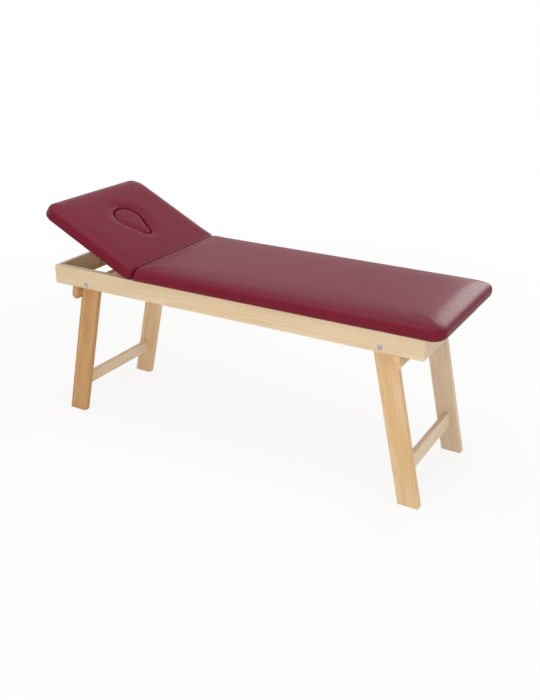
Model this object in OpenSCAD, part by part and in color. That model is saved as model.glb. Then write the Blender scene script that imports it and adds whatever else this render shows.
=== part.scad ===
// Wooden treatment table with a tilting head section and folding splayed legs.
// Millimetres. X runs from the head end to the foot end, Z is up, the floor is at zero.

/* [Frame] */
// Length of the side rails
frame_l = 1752; // [1650:1:1850]
// Width over the side rails
frame_w = 600; // [550:1:680]
// Height of the rails' top edge above the floor
frame_top = 729; // [690:1:760]
// Height of a side rail
rail_h = 85; // [80:1:95]
// Thickness of a side rail
rail_t = 30; // [26:1:34]
// Thickness of an end board
board_t = 27; // [22:1:32]
// How far an end board stands back from the rails' ends
board_set = 2; // [0:0.5:6]
// Rounding along the edges of the frame's boards
edge_r = 3; // [2:0.5:5]
// Rounding at the corners of the rails' ends
rail_corner_r = 6; // [4:0.5:10]
// Width of a pad bearer
bearer_w = 70; // [50:1:90]
// Thickness of a pad bearer
bearer_t = 16; // [12:0.5:18]
// Leg length of a corner block's triangle
block_leg = 42; // [30:1:50]
// Height of a corner block
block_h = 62; // [40:1:70]

/* [Legs] */
// Width of a leg
leg_w = 90; // [80:1:94]
// Thickness of a leg
leg_t = 27; // [22:1:32]
// Lean of the open legs away from upright, in degrees
splay = 12.2; // [8:0.1:15]
// Distance of a leg's pivot from the rail's end
pivot_in = 174.5; // [165:0.5:190]
// Height of a leg's pivot above the rail's bottom edge
pivot_up = 20.5; // [18:0.5:26]
// Rounding at a leg's foot corners
foot_r = 7; // [4:0.5:12]
// Height of a stretcher
stretcher_h = 57; // [45:1:70]
// Thickness of a stretcher
stretcher_t = 26; // [20:1:32]
// Height of a stretcher's middle above the floor
stretcher_up = 152; // [130:1:200]
// Height of a stretcher's tenon
tenon_h = 36; // [25:1:40]
// Thickness of a stretcher's tenon
tenon_t = 12; // [8:1:16]
// Depth of a stretcher's tenon in the leg
tenon_l = 15; // [10:1:18]
// Thickness of a stop bar
stop_t = 27; // [20:1:32]
// Height of a stop bar
stop_h = 60; // [45:1:70]
// Rounding at a stop bar's lower outer edge
stop_r = 21; // [5:1:24]

/* [Pivot bolts] */
// Radius of a pivot bolt's shank
bolt_r = 4; // [3:0.5:5]
// Radius of a pivot bolt's domed head
bolt_head_r = 10; // [8.5:0.5:12]
// Height of a pivot bolt's head
bolt_head_h = 3.6; // [3:0.1:5]
// Width across the corners of the head's hexagon socket
socket_w = 5.8; // [4:0.1:7]
// Radial clearance of a leg's bore on its bolt
pivot_clear = 0.05; // [0.02:0.01:0.09]
// Radius of a washer
washer_r = 12; // [10:0.5:14]
// Thickness of a washer
washer_t = 1.6; // [1:0.1:2.5]
// Width of a nut across its corners
nut_w = 15; // [12:0.5:18]
// Height of a nut's hexagon
nut_h = 6.5; // [5:0.5:8]
// Height of a nut's locking collar
collar_h = 2.5; // [1.5:0.5:4]

/* [Pads] */
// Width of both pads
pad_w = 620; // [570:1:700]
// Thickness of both pads with their panels
pad_t = 60; // [50:1:70]
// Where the main pad begins, from the rails' head end
main_start = 450; // [445:1:470]
// How far the main pad reaches past the rails' foot end
main_over = 60; // [30:1:80]
// Plan radius of the pads' outer corners
outer_corner_r = 72; // [50:1:90]
// Plan radius of the pads' corners beside the hinges
inner_corner_r = 24; // [16:1:34]
// Width of the foam's rounded shoulder
shoulder_w = 38; // [30:1:50]
// Rise of the pad's crown inside the shoulder
crown_h = 2.6; // [1:0.1:4]
// How far the cover draws in above the panel
crease_in = 1.6; // [0.5:0.1:3]
// Thickness of the pads' plywood panels
panel_t = 12; // [9:1:15]
// Width of the cover turned under a panel
wrap_w = 12; // [8:1:16]

/* [Head section] */
// Tilt of the raised head section, in degrees
tilt = 26.6; // [20:0.1:28]
// Length of the head section from its hinge axis to its free end
head_reach = 520; // [480:1:540]
// How far the head section's underside ends short of its hinge axis
head_back = 1; // [1:0.5:6]
// How far the head section's hinge end leans out over the gap at the top
end_lean = 22; // [0:0.5:24]
// Hinge axis, from the rails' head end
hinge_in = 419; // [410:1:425]
// Radius of a hinge's knuckle
knuckle_r = 4.5; // [4:0.1:6]
// Radius of a hinge's pin
hinge_pin_r = 2.4; // [2:0.1:3]
// Thickness of a hinge leaf
leaf_t = 2; // [1.5:0.1:2.5]
// Reach of a hinge leaf from the axis
leaf_l = 76; // [70:1:90]
// Length of a hinge along its pin
hinge_w = 80; // [60:1:100]
// Distance of a hinge's middle from the table's middle
hinge_out = 170; // [120:1:200]

/* [Face opening] */
// Distance of the opening's wide end from the hinge axis, to that end's centre
face_far = 281; // [270:1:300]
// Distance of the opening's narrow end from the hinge axis, to that end's centre
face_near = 184; // [175:1:200]
// Radius of the opening's wide end
face_wide_r = 71; // [60:1:80]
// Radius of the opening's narrow end
face_slim_r = 32; // [25:1:40]
// Width of the panel's ledge under the plug
ledge_w = 12; // [8:1:16]
// Rounding of the cover at the opening's rim
rim_r = 8; // [5:0.5:10]
// Gap between the plug and the opening's wall
plug_gap = 0.8; // [0.5:0.1:1.5]
// Thickness of the plug's plywood base
plug_base_t = 9; // [6:1:12]
// How far the plug's top lies below the pad's top
plug_sink = 2.5; // [1:0.5:6]

/* [Notched stay] */
// Distance of the stay's lower pivot from the head board's inner face
stay_out = 18; // [16:0.5:24]
// Height of the stay's lower pivot above the rail's bottom edge
stay_up = 26; // [20:0.5:30]
// Distance of the stay's upper pin from the hinge axis, along the pad
stay_along = 150; // [140:1:160]
// Drop of the stay's upper pin below the head panel
stay_drop = 26; // [24:0.5:30]
// Radius of the stay's two pins
stay_pin_r = 3; // [2.5:0.1:3.5]
// Thickness of the stay bar
stay_t = 4; // [3:0.5:5]
// Metal left beside the stay's slot and round its eye
stay_wall = 5; // [4:0.5:6]
// Thickness of the stay brackets' sheet
bracket_t = 2.5; // [2:0.1:3]
// Width of the stay brackets' feet
bracket_w = 50; // [44:1:60]

/* [Clearances] */
// Gap under the lowered head section, and over the stop bars
rest_gap = 0.5; // [0.3:0.1:0.8]
// Side gap between parts that turn past each other
side_gap = 0.4; // [0.3:0.1:0.6]
// Side play between a leg and the washer on each side of it
leg_play = 0.1; // [0.05:0.05:0.4]
// Radial clearance of a hinge's or stay's pin in its bore
pin_clear = 0.05; // [0.02:0.01:0.09]
// Gap round the stay's upper pin in its slot
slot_clear = 0.5; // [0.4:0.1:0.8]
// Radial clearance of a bolt or screw in a plain hole
hole_clear = 0.2; // [0.1:0.05:0.4]

/* [Hidden] */

$fn = 64;
// One overrun for every cut
overrun = 1;

wood = "#d9bd92";
dark_wood = "#c9a06c";
ply = "#cdb083";
vinyl = "#7b2a3f";
steel = "#bfc5cb";

// Heights and lengths that several pieces share
rail_bottom = frame_top - rail_h;
pivot_z = rail_bottom + pivot_up;
inner_w = frame_w - 2 * rail_t;
board_h = rail_h;
leg_y = inner_w / 2 - washer_t - leg_play - leg_t / 2;
nut_y = leg_y - leg_t / 2 - leg_play - washer_t;
leg_gap = 2 * leg_y - leg_t;
main_end = frame_l + main_over;
hinge_z = frame_top - knuckle_r;
pad_up = knuckle_r + rest_gap;
head_end = hinge_in - head_reach * cos(tilt) + pad_up * sin(tilt);
// The table's middle, which the origin lies under
middle_x = (main_end + head_end) / 2;
// Distance from a leg's pivot to the floor along the leg
leg_reach = pivot_z / cos(splay);

// Screws that hold a stop bar on its legs
stop_screw_r = 2.5;
stop_screw_head_r = 5;
stop_screw_head_h = 3;
stop_screw_bite = 30;
stop_screw_rise = 15;

// Shares of a bolt head: its flat top's radius, and the height where its socket begins
bolt_top_share = 0.72;
socket_share = 0.3;
// Radius of a nut's collar as a share of the nut's width
collar_share = 0.42;
// Places of a hinge leaf's screw holes, as shares of its reach and of the hinge's length
leaf_hole_shares = [0.66, 0.88];
leaf_hole_side_share = 0.3;
// Radius of a stay pin's end head as a share of the pin's radius
pin_head_share = 1.5;
// How far the head cover's two inner rings lie from its shoulder towards the opening's rim
rim_shares = [0.4, 0.75];
// Width of the plug's rounding as a share of the rim's
plug_crown_share = 2.5;
// Width of the head section's shoulder at its hinge end as a share of the other shoulders
end_share = 0.6;

// Sizes of the stay's linkage, with the head section at a given tilt
function turned(x, z, a) = [x * cos(a) + z * sin(a), z * cos(a) - x * sin(a)];
stay_foot = [board_set + board_t + stay_out, rail_bottom + stay_up];
function stay_top(a) = [hinge_in, hinge_z] + turned(-stay_along, pad_up - stay_drop, a);
function stay_reach(a) = norm(stay_top(a) - stay_foot);
function stay_angle(a) = atan2(stay_top(a)[1] - stay_foot[1], stay_top(a)[0] - stay_foot[0]);
stay_low = stay_angle(0);
stay_high = stay_angle(tilt);
// The stay turns in a fixed ratio to the head section, which this makes exact at both ends
stay_ratio = (stay_high - stay_low) / tilt;
// Path of the upper pin as seen from the stay: along it, and across it
function pin_path(a) = turned(stay_top(a)[0] - stay_foot[0], stay_top(a)[1] - stay_foot[1],
                              stay_low + stay_ratio * a);
path_steps = 12;
path = [for (k = [0 : path_steps]) pin_path(tilt * k / path_steps)];
path_rise = max([for (p = path) p[1]]);
slot_r = stay_pin_r + slot_clear;
stay_low_side = slot_r + stay_wall;
stay_high_side = path_rise + slot_r + stay_wall;
stay_end = path[path_steps][0] + slot_r + stay_wall;
// Notches in the slot's lower edge, as shares of the pin's path, and their depth
notch_shares = [0.3, 0.66];
notch_depth = 3;

// Foam and cover
foam_side = panel_t + 3 * crease_in;
swell_z = foam_side + 2 * crease_in;
shoulder_top = pad_t - crown_h;
// Points round a pad's outline: on each corner's arc, and between corners
arc_steps = 8;
side_steps = 8;
outline_count = 4 * (arc_steps + side_steps);

// Flat shapes

// A rectangle with round corners, made of straight and round pieces
module soft_rect(w, h, r) {
  square([w - 2 * r, h], center = true);
  square([w, h - 2 * r], center = true);
  for (sx = [-1, 1], sy = [-1, 1]) translate([sx * (w / 2 - r), sy * (h / 2 - r)]) circle(r);
}

function ray(a) = [cos(a), sin(a)];

// What a rounding of radius r takes off a corner whose sides run at angles a and b. Its arc is a
// hair wider than the tangent one, so that it crosses the sides instead of grazing them.
arc_share = 1.002;
module nib(a, b, r) {
  half = (b - a) / 2;
  reach = r / tan(half);
  centre = r / sin(half) * ray(a + half);
  out = overrun * (ray(a) + ray(b));
  difference() {
    polygon([-out, reach * ray(a) - out, reach * ray(a), centre, reach * ray(b), reach * ray(b) - out]);
    translate(centre) circle(r * arc_share);
  }
}

// Boards

// A board on edge: length along X, height along Z, eased edges and rounded end corners
module plank(l, h, t, edge, corner) {
  intersection() {
    rotate([90, 0, 90]) linear_extrude(l, center = true) soft_rect(t, h, edge);
    rotate([90, 0, 0]) linear_extrude(t + 2 * overrun, center = true) soft_rect(l, h, corner);
  }
}

// A bar along Y with eased edges
module cross_bar(l, w, h, edge) {
  rotate([90, 0, 0]) linear_extrude(l, center = true) soft_rect(w, h, edge);
}

// Places at the four pivots: along the rail and across the table
module at_pivots() {
  for (x = [pivot_in, frame_l - pivot_in], side = [-1, 1])
    translate([x - middle_x, 0, pivot_z]) scale([1, side, 1]) children();
}

// A cylinder along Y from y0 to y1
module rod_y(r, y0, y1) {
  translate([0, y1, 0]) rotate([90, 0, 0]) cylinder(r = r, h = y1 - y0);
}

module rail(side) {
  color(wood) difference() {
    translate([frame_l / 2 - middle_x, side * (frame_w - rail_t) / 2, frame_top - rail_h / 2])
      plank(frame_l, rail_h, rail_t, edge_r, rail_corner_r);
    for (x = [pivot_in, frame_l - pivot_in])
      translate([x - middle_x, 0, pivot_z])
        rod_y(bolt_r + hole_clear, side > 0 ? inner_w / 2 - overrun : -frame_w / 2 - overrun,
              side > 0 ? frame_w / 2 + overrun : -inner_w / 2 + overrun);
  }
}

module near_rail() { rail(-1); }
module far_rail() { rail(1); }

module end_board(x) {
  color(wood) translate([x - middle_x, 0, frame_top - board_h / 2])
    cross_bar(inner_w, board_t, board_h, edge_r);
}

module head_end_board() { end_board(board_set + board_t / 2); }
module foot_end_board() { end_board(frame_l - board_set - board_t / 2); }

module bearer(x) {
  color(dark_wood) translate([x - middle_x, 0, frame_top - bearer_t / 2])
    cross_bar(inner_w, bearer_w, bearer_t, edge_r);
}

// The first bearer clears the hinge leaves, and the others share out what is left
first_bearer_x = hinge_in + leaf_l + bearer_w / 2 + board_t / 2;
last_bearer_x = frame_l - pivot_in;
module hinge_bearer() { bearer(first_bearer_x); }
module middle_bearer() { bearer((first_bearer_x + last_bearer_x) / 2); }
module foot_bearer() { bearer(last_bearer_x); }

// Glued three-cornered blocks in the frame's corners
module corner_blocks() {
  inner_x = frame_l / 2 - board_set - board_t;
  color(dark_wood) translate([frame_l / 2 - middle_x, 0, frame_top - bearer_t - block_h])
    for (sx = [-1, 1], sy = [-1, 1]) scale([sx, sy, 1])
      translate([inner_x, inner_w / 2, 0]) linear_extrude(block_h)
        polygon([[0, 0], [-block_leg, 0], [-block_leg, -edge_r], [-edge_r, -block_leg], [0, -block_leg]]);
}

// Pads

// A pad's outline, drawn in by inset, at height z: x0 and r0 at one end, x1 and r1 at the other
function corner_pts(c, r, a0, z) = [for (k = [0 : arc_steps - 1])
  [c[0] + r * cos(a0 + 90 * k / (arc_steps - 1)), c[1] + r * sin(a0 + 90 * k / (arc_steps - 1)), z]];
function side_pts(p, q, z) = [for (k = [1 : side_steps])
  [p[0] + (q[0] - p[0]) * k / (side_steps + 1), p[1] + (q[1] - p[1]) * k / (side_steps + 1), z]];
function outline(x0, x1, r0, r1, inset, z) =
  let (ra = max(r0 - inset, inner_corner_r / 4), rb = max(r1 - inset, inner_corner_r / 4),
       xa = x0 + inset, xb = x1 - inset, h = pad_w / 2 - inset)
  concat(corner_pts([xb - rb, h - rb], rb, 0, z), side_pts([xb - rb, h], [xa + ra, h], z),
         corner_pts([xa + ra, h - ra], ra, 90, z), side_pts([xa, h - ra], [xa, ra - h], z),
         corner_pts([xa + ra, ra - h], ra, 180, z), side_pts([xa + ra, -h], [xb - rb, -h], z),
         corner_pts([xb - rb, rb - h], rb, 270, z), side_pts([xb, rb - h], [xb, h - rb], z));

// Inset and height of the cover's rings from the underside up to the crown
shoulder_steps = 5;
cover_rings = concat(
  [[0, 0], [0, panel_t], [crease_in, foam_side], [0, swell_z]],
  [for (k = [1 : shoulder_steps]) let (a = 90 * k / shoulder_steps)
    [shoulder_w * (1 - cos(a)), swell_z + (shoulder_top - swell_z) * sin(a)]],
  [[2 * shoulder_w, pad_t - crown_h / 4]]);

// Triangles between rings of points, each ring listed from below to above
function band(rings, count, wrap) = [
  for (j = [0 : rings - (wrap ? 1 : 2)], i = [0 : count - 1])
    let (a = j * count + i, b = j * count + (i + 1) % count,
         c = ((j + 1) % rings) * count + (i + 1) % count, d = ((j + 1) % rings) * count + i)
    each [[a, b, c], [a, c, d]]];
function fan(first, count, centre, up) = [for (i = [0 : count - 1])
  let (a = first + i, b = first + (i + 1) % count) up ? [a, b, centre] : [b, a, centre]];
function flipped(faces) = [for (f = faces) [f[2], f[1], f[0]]];

// The main pad's cover over its foam, open below for the panel
module main_cushion() {
  rings = concat([[wrap_w, panel_t], [wrap_w, 0]], cover_rings);
  count = len(rings);
  points = concat(
    [for (r = rings) each outline(main_start, main_end, inner_corner_r, outer_corner_r, r[0], r[1])],
    [[(main_start + main_end) / 2, 0, panel_t], [(main_start + main_end) / 2, 0, pad_t]]);
  faces = concat(band(count, outline_count, false),
                 fan(0, outline_count, count * outline_count, false),
                 fan((count - 1) * outline_count, outline_count, count * outline_count + 1, true));
  color(vinyl) translate([-middle_x, 0, frame_top]) polyhedron(points, flipped(faces));
}

// A plywood panel with round corners, as plain boxes and cylinders
module panel(x0, x1, r0, r1) {
  edge = wrap_w + side_gap;
  half = pad_w / 2 - edge;
  ra = r0 - edge;
  rb = r1 - edge;
  xa = x0 + edge;
  xb = x1 - edge;
  linear_extrude(panel_t) {
    translate([xa + ra, -half]) square([xb - rb - xa - ra, 2 * half]);
    translate([xa, ra - half]) square([ra, 2 * (half - ra)]);
    translate([xb - rb, rb - half]) square([rb, 2 * (half - rb)]);
    for (s = [-1, 1]) {
      translate([xa + ra, s * (half - ra)]) circle(ra);
      translate([xb - rb, s * (half - rb)]) circle(rb);
    }
  }
}

module main_panel() {
  color(ply) translate([-middle_x, 0, frame_top])
    panel(main_start, main_end, inner_corner_r, outer_corner_r);
}

// Head section, drawn lying flat about its hinge axis and then raised

module on_head() {
  translate([hinge_in - middle_x, 0, hinge_z]) rotate([0, tilt, 0]) children();
}

// The face opening's outline: two arcs and the straight lines between them, grown by grow
function face_pt(a, grow, z) =
  let (n = ray(a), wide = -face_far * n[0] + face_wide_r, slim = -face_near * n[0] + face_slim_r,
       r = wide > slim ? face_wide_r + grow : face_slim_r + grow,
       x = wide > slim ? -face_far : -face_near)
  [x + r * n[0], r * n[1], z];
face_mid = -(face_far + face_near) / 2;

module face_shape(grow) {
  wide_r = face_wide_r + grow;
  slim_r = face_slim_r + grow;
  lean = acos((wide_r - slim_r) / (face_far - face_near));
  translate([-face_far, 0]) circle(wide_r);
  translate([-face_near, 0]) circle(slim_r);
  polygon([for (k = [0 : 3]) let (wide = k == 0 || k == 3, s = k < 2 ? -1 : 1)
    [wide ? -face_far + wide_r * cos(lean) : -face_near + slim_r * cos(lean),
     s * (wide ? wide_r : slim_r) * sin(lean)]]);
}

// The cover's outline on the head section, and the opening's point that faces each of its points
function head_outline(inset, z) = outline(-head_reach, -head_back, outer_corner_r, inner_corner_r, inset, z);
function head_cover(inset, z) =
  outline(-head_reach, -head_back + end_lean * z / pad_t + inset * (1 - end_share),
          outer_corner_r, inner_corner_r, inset, z);
head_base = head_outline(0, 0);
face_angles = [for (p = head_base) atan2(p[1], p[0] - face_mid)];
function face_outline(grow, z) = [for (a = face_angles) face_pt(a, grow, z)];
function mixed(p, q, share) = [for (i = [0 : len(p) - 1]) p[i] * (1 - share) + q[i] * share];

// The head pad's cover, a closed ring of foam round the face opening
module head_cushion() {
  rim = face_outline(rim_r, pad_t - crown_h / 4);
  rings = concat(
    [for (k = [0 : len(cover_rings) - 2]) head_cover(cover_rings[k][0], cover_rings[k][1])],
    [mixed(head_cover(shoulder_w, pad_t - crown_h / 3), rim, rim_shares[0]),
     mixed(head_cover(shoulder_w, pad_t), rim, rim_shares[1]),
     rim,
     face_outline(rim_r * (1 - sin(45)), pad_t - crown_h / 4 - rim_r * (1 - sin(45))),
     face_outline(0, pad_t - crown_h / 4 - rim_r),
     face_outline(0, panel_t),
     head_outline(wrap_w, panel_t),
     head_outline(wrap_w, 0)]);
  points = [for (r = rings) each r];
  color(vinyl) on_head() translate([0, 0, pad_up])
    polyhedron(points, flipped(band(len(rings), outline_count, true)));
}

module head_panel() {
  color(ply) on_head() translate([0, 0, pad_up]) difference() {
    panel(-head_reach, -head_back, outer_corner_r, inner_corner_r);
    translate([0, 0, -overrun]) linear_extrude(panel_t + 2 * overrun) face_shape(-ledge_w);
  }
}

// The plug that fills the face opening, on its own plywood base
module plug_base() {
  color(ply) on_head() translate([0, 0, pad_up + panel_t])
    linear_extrude(plug_base_t) face_shape(-plug_gap - edge_r / 2);
}

module plug_cushion() {
  low = panel_t + plug_base_t;
  top = pad_t - plug_sink;
  angles = [for (i = [0 : outline_count - 1]) 360 * i / outline_count];
  rings = [[-plug_gap - crease_in, low], [-plug_gap, low + 2 * crease_in],
           [-plug_gap, top - rim_r], [-plug_gap - rim_r * (1 - sin(45)), top - rim_r * (1 - sin(45))],
           [-plug_gap - rim_r, top], [-plug_gap - plug_crown_share * rim_r, top + crown_h / 4]];
  count = len(rings);
  points = concat([for (r = rings) each [for (a = angles) face_pt(a, r[0], r[1])]],
                  [[face_mid, 0, low], [face_mid, 0, top + crown_h / 2]]);
  faces = concat(band(count, outline_count, false),
                 fan(0, outline_count, count * outline_count, false),
                 fan((count - 1) * outline_count, outline_count, count * outline_count + 1, true));
  color(vinyl) on_head() translate([0, 0, pad_up]) polyhedron(points, flipped(faces));
}

// Hinges

// Five knuckles on a hinge: the even ones stay with the frame, the odd ones turn
knuckles = 5;
knuckle_l = hinge_w / knuckles;
module hinge_half(turning, top) {
  dir = turning ? -1 : 1;
  for (side = [-1, 1]) translate([0, side * hinge_out, 0]) difference() {
    union() {
      for (k = [(turning ? 1 : 0) : 2 : knuckles - 1])
        rod_y(knuckle_r, k * knuckle_l - hinge_w / 2 + side_gap / 2,
              (k + 1) * knuckle_l - hinge_w / 2 - side_gap / 2);
      translate([dir > 0 ? 0 : -leaf_l, -hinge_w / 2, top - leaf_t]) cube([leaf_l, hinge_w, leaf_t]);
    }
    rod_y(hinge_pin_r + pin_clear, -hinge_w / 2 - overrun, hinge_w / 2 + overrun);
    for (k = [(turning ? 0 : 1) : 2 : knuckles - 1])
      translate([-knuckle_r - rest_gap, k * knuckle_l - hinge_w / 2 - side_gap / 2, -knuckle_r - overrun])
        cube([2 * (knuckle_r + rest_gap), knuckle_l + side_gap, 2 * (knuckle_r + overrun)]);
    for (along = leaf_hole_shares, y = [-leaf_hole_side_share, leaf_hole_side_share])
      translate([dir * along * leaf_l, y * hinge_w, top - leaf_t - overrun])
        cylinder(r = hinge_pin_r, h = leaf_t + 2 * overrun);
  }
}

module fixed_hinge_leaves() {
  color(steel) translate([hinge_in - middle_x, 0, hinge_z]) hinge_half(false, knuckle_r);
}

module moving_hinge_leaves() {
  color(steel) on_head() hinge_half(true, pad_up);
}

module hinge_pins() {
  color(steel) translate([hinge_in - middle_x, 0, hinge_z])
    for (side = [-1, 1]) translate([0, side * hinge_out, 0]) rod_y(hinge_pin_r, -hinge_w / 2, hinge_w / 2);
}

// Notched stay

ear_gap = stay_t + 2 * side_gap;
ear_r = stay_pin_r + stay_wall;

// Two ears on a foot: the foot lies on the YZ plane at x = 0, the ears reach out to x = reach
module ear_bracket(reach, height) {
  translate([0, -bracket_w / 2, -height / 2]) cube([bracket_t, bracket_w, height]);
  for (side = [-1, 1]) translate([0, side * (ear_gap + bracket_t) / 2, 0]) {
    translate([0, -bracket_t / 2, -ear_r]) cube([reach, bracket_t, 2 * ear_r]);
    translate([reach, 0, 0]) rod_y(ear_r, -bracket_t / 2, bracket_t / 2);
  }
}

module pin_bore(reach) {
  translate([reach, 0, 0]) rod_y(stay_pin_r + pin_clear, -bracket_w / 2, bracket_w / 2);
}

module foot_screw_holes() {
  for (side = [-1, 1]) translate([-overrun, side * (bracket_w / 2 - ear_r), 0])
    rotate([0, 90, 0]) cylinder(r = stop_screw_r, h = bracket_t + 2 * overrun);
}

module stay_foot_bracket() {
  color(steel) translate([board_set + board_t - middle_x, 0, stay_foot[1]]) difference() {
    ear_bracket(stay_out, 4 * ear_r);
    pin_bore(stay_out);
    foot_screw_holes();
  }
}

module stay_pin() {
  rod_y(stay_pin_r, -ear_gap / 2 - 2 * bracket_t, ear_gap / 2 + 2 * bracket_t);
  for (side = [-1, 1]) scale([1, side, 1])
    rod_y(stay_pin_r * pin_head_share, ear_gap / 2 + bracket_t, ear_gap / 2 + 2 * bracket_t);
}

module stay_foot_pin() {
  color(steel) translate([stay_foot[0] - middle_x, 0, stay_foot[1]]) stay_pin();
}

module stay_top_bracket() {
  color(steel) on_head() translate([-stay_along, 0, pad_up]) rotate([0, 90, 0]) difference() {
    ear_bracket(stay_drop, 4 * ear_r);
    pin_bore(stay_drop);
    foot_screw_holes();
  }
}

module stay_top_pin() {
  color(steel) on_head() translate([-stay_along, 0, pad_up - stay_drop]) stay_pin();
}

// The slot follows the pin's path below, runs straight above, and has a seat at each end
module stay_slot() {
  x0 = path[0][0];
  x1 = path[path_steps][0];
  for (x = [x0, x1], z = [0, path_rise]) translate([x, z]) circle(slot_r);
  translate([x0 - slot_r, 0]) square([x1 - x0 + 2 * slot_r, path_rise]);
  polygon(concat([for (p = path) [p[0], p[1] - slot_r]], [[x1, path_rise + slot_r], [x0, path_rise + slot_r]]));
  for (share = notch_shares) let (p = pin_path(tilt * share))
    translate([p[0], p[1] - notch_depth]) circle(stay_pin_r);
}

module stay_shape() {
  difference() {
    union() {
      circle(ear_r);
      translate([0, -ear_r]) square([path[0][0] / 3, 2 * ear_r]);
      polygon([[path[0][0] / 4, -ear_r], [path[0][0] / 2, -stay_low_side],
               [stay_end - stay_wall, -stay_low_side], [stay_end, -stay_low_side + stay_wall],
               [stay_end, stay_high_side - stay_wall], [stay_end - stay_wall, stay_high_side],
               [path[0][0] / 2, stay_high_side], [path[0][0] / 4, ear_r]]);
    }
    circle(stay_pin_r + pin_clear);
    stay_slot();
  }
}

module notched_stay() {
  color(steel) translate([stay_foot[0] - middle_x, 0, stay_foot[1]]) rotate([90, 0, 0])
    linear_extrude(stay_t, center = true) rotate(stay_high) stay_shape();
}

// Pivot bolts, washers and nuts

bolt_l = frame_w / 2 - nut_y + nut_h + collar_h + bolt_r / 2;

module pivot_bolts() {
  color(steel) at_pivots() difference() {
    union() {
      rod_y(bolt_r, frame_w / 2 - bolt_l, frame_w / 2);
      rod_y(bolt_head_r, frame_w / 2, frame_w / 2 + bolt_head_h / 2);
      translate([0, frame_w / 2 + bolt_head_h / 2, 0]) rotate([-90, 0, 0])
        cylinder(r1 = bolt_head_r, r2 = bolt_head_r * bolt_top_share, h = bolt_head_h / 2);
    }
    translate([0, frame_w / 2 + bolt_head_h * socket_share, 0]) rotate([-90, 0, 0])
      cylinder(r = socket_w / 2, h = bolt_head_h, $fn = 6);
  }
}

module washer(y0) {
  difference() {
    rod_y(washer_r, y0, y0 + washer_t);
    rod_y(bolt_r + hole_clear, y0 - overrun, y0 + washer_t + overrun);
  }
}

// One washer between each rail and leg, and one under each nut
module pivot_washers() {
  color(steel) at_pivots() {
    washer(inner_w / 2 - washer_t);
    washer(nut_y);
  }
}

module pivot_nuts() {
  color(steel) at_pivots() difference() {
    union() {
      translate([0, nut_y, 0]) rotate([90, 0, 0]) cylinder(r = nut_w / 2, h = nut_h, $fn = 6);
      rod_y(nut_w * collar_share, nut_y - nut_h - collar_h, nut_y - nut_h);
    }
    rod_y(bolt_r + pin_clear, nut_y - nut_h - collar_h - overrun, nut_y + overrun);
  }
}

// Legs, drawn upright about their pivot with the outer edge towards -X, then leaned

module on_legs(foot) {
  translate([(foot ? frame_l - pivot_in : pivot_in) - middle_x, 0, pivot_z])
    scale([foot ? -1 : 1, 1, 1]) rotate([0, splay, 0]) children();
}

// Side view of a leg: x outwards is negative, the foot is cut level with the floor
outer_foot = [-leg_w / 2, -leg_reach - leg_w / 2 * tan(splay)];
inner_foot = [leg_w / 2, -leg_reach + leg_w / 2 * tan(splay)];
module leg_side() {
  difference() {
    union() {
      circle(leg_w / 2);
      polygon([[-leg_w / 2, 0], outer_foot, inner_foot, [leg_w / 2, 0]]);
    }
    translate(outer_foot) nib(splay, 90, foot_r);
    translate(inner_foot) nib(90, 180 + splay, foot_r);
  }
}

module leg(foot, side) {
  long = leg_reach + leg_w;
  color(dark_wood) on_legs(foot) difference() {
    translate([0, side * leg_y, 0]) intersection() {
      translate([0, 0, leg_w / 2 - long]) linear_extrude(long) soft_rect(leg_w, leg_t, edge_r);
      rotate([90, 0, 0]) linear_extrude(leg_t + 2 * overrun, center = true) leg_side();
    }
    rod_y(bolt_r + pivot_clear, side > 0 ? leg_y - leg_t : -leg_y - leg_t,
          side > 0 ? leg_y + leg_t : -leg_y + leg_t);
    stretcher_tenons();
    screw_bores(stop_screw_r);
  }
}

stretcher_drop = (pivot_z - stretcher_up) / cos(splay);
module stretcher_tenons() {
  translate([0, 0, -stretcher_drop]) cube([tenon_t, leg_gap + 2 * tenon_l, tenon_h], center = true);
}

module stretcher(foot) {
  color(wood) on_legs(foot) union() {
    translate([0, 0, -stretcher_drop]) cross_bar(leg_gap, stretcher_t, stretcher_h, edge_r);
    stretcher_tenons();
  }
}

// Upper edge of the stop bar is level when the legs are open, just below the rails
stop_top = -(pivot_up + rest_gap) / cos(splay);
function stop_edge(x) = stop_top + x * tan(splay);
stop_mid = stop_top - stop_h / 2;
module stop_shape() {
  x0 = -leg_w / 2 - stop_t;
  x1 = -leg_w / 2;
  low = stop_edge(x1) - stop_h;
  difference() {
    polygon([[x0, low], [x1, low], [x1, stop_edge(x1)], [x0, stop_edge(x0)]]);
    translate([x0, low]) nib(0, 90, stop_r);
  }
}

module screw_bores(r) {
  for (side = [-1, 1]) translate([-leg_w / 2 + stop_screw_bite, side * leg_y, 0]) for (k = [-1, 1])
    translate([0, 0, stop_mid + k * stop_screw_rise]) rotate([0, -90, 0])
      cylinder(r = r, h = stop_t + stop_screw_bite + overrun);
}

module screw_heads(r, h) {
  for (side = [-1, 1], k = [-1, 1])
    translate([-leg_w / 2 - stop_t + stop_screw_head_h, side * leg_y, stop_mid + k * stop_screw_rise])
      rotate([0, -90, 0]) cylinder(r = r, h = h);
}

module stop_bar(foot) {
  color(dark_wood) on_legs(foot) difference() {
    rotate([90, 0, 0]) linear_extrude(frame_w, center = true) stop_shape();
    screw_bores(stop_screw_r);
    screw_heads(stop_screw_head_r, stop_screw_head_h + overrun);
  }
}

module stop_screws(foot) {
  color(steel) on_legs(foot) union() {
    intersection() {
      screw_bores(stop_screw_r - pin_clear);
      translate([-leg_w / 2 - stop_t + overrun, -frame_w / 2, -leg_reach])
        cube([stop_t + stop_screw_bite, frame_w, leg_reach]);
    }
    screw_heads(stop_screw_head_r - pin_clear, stop_screw_head_h - overrun);
  }
}

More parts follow.
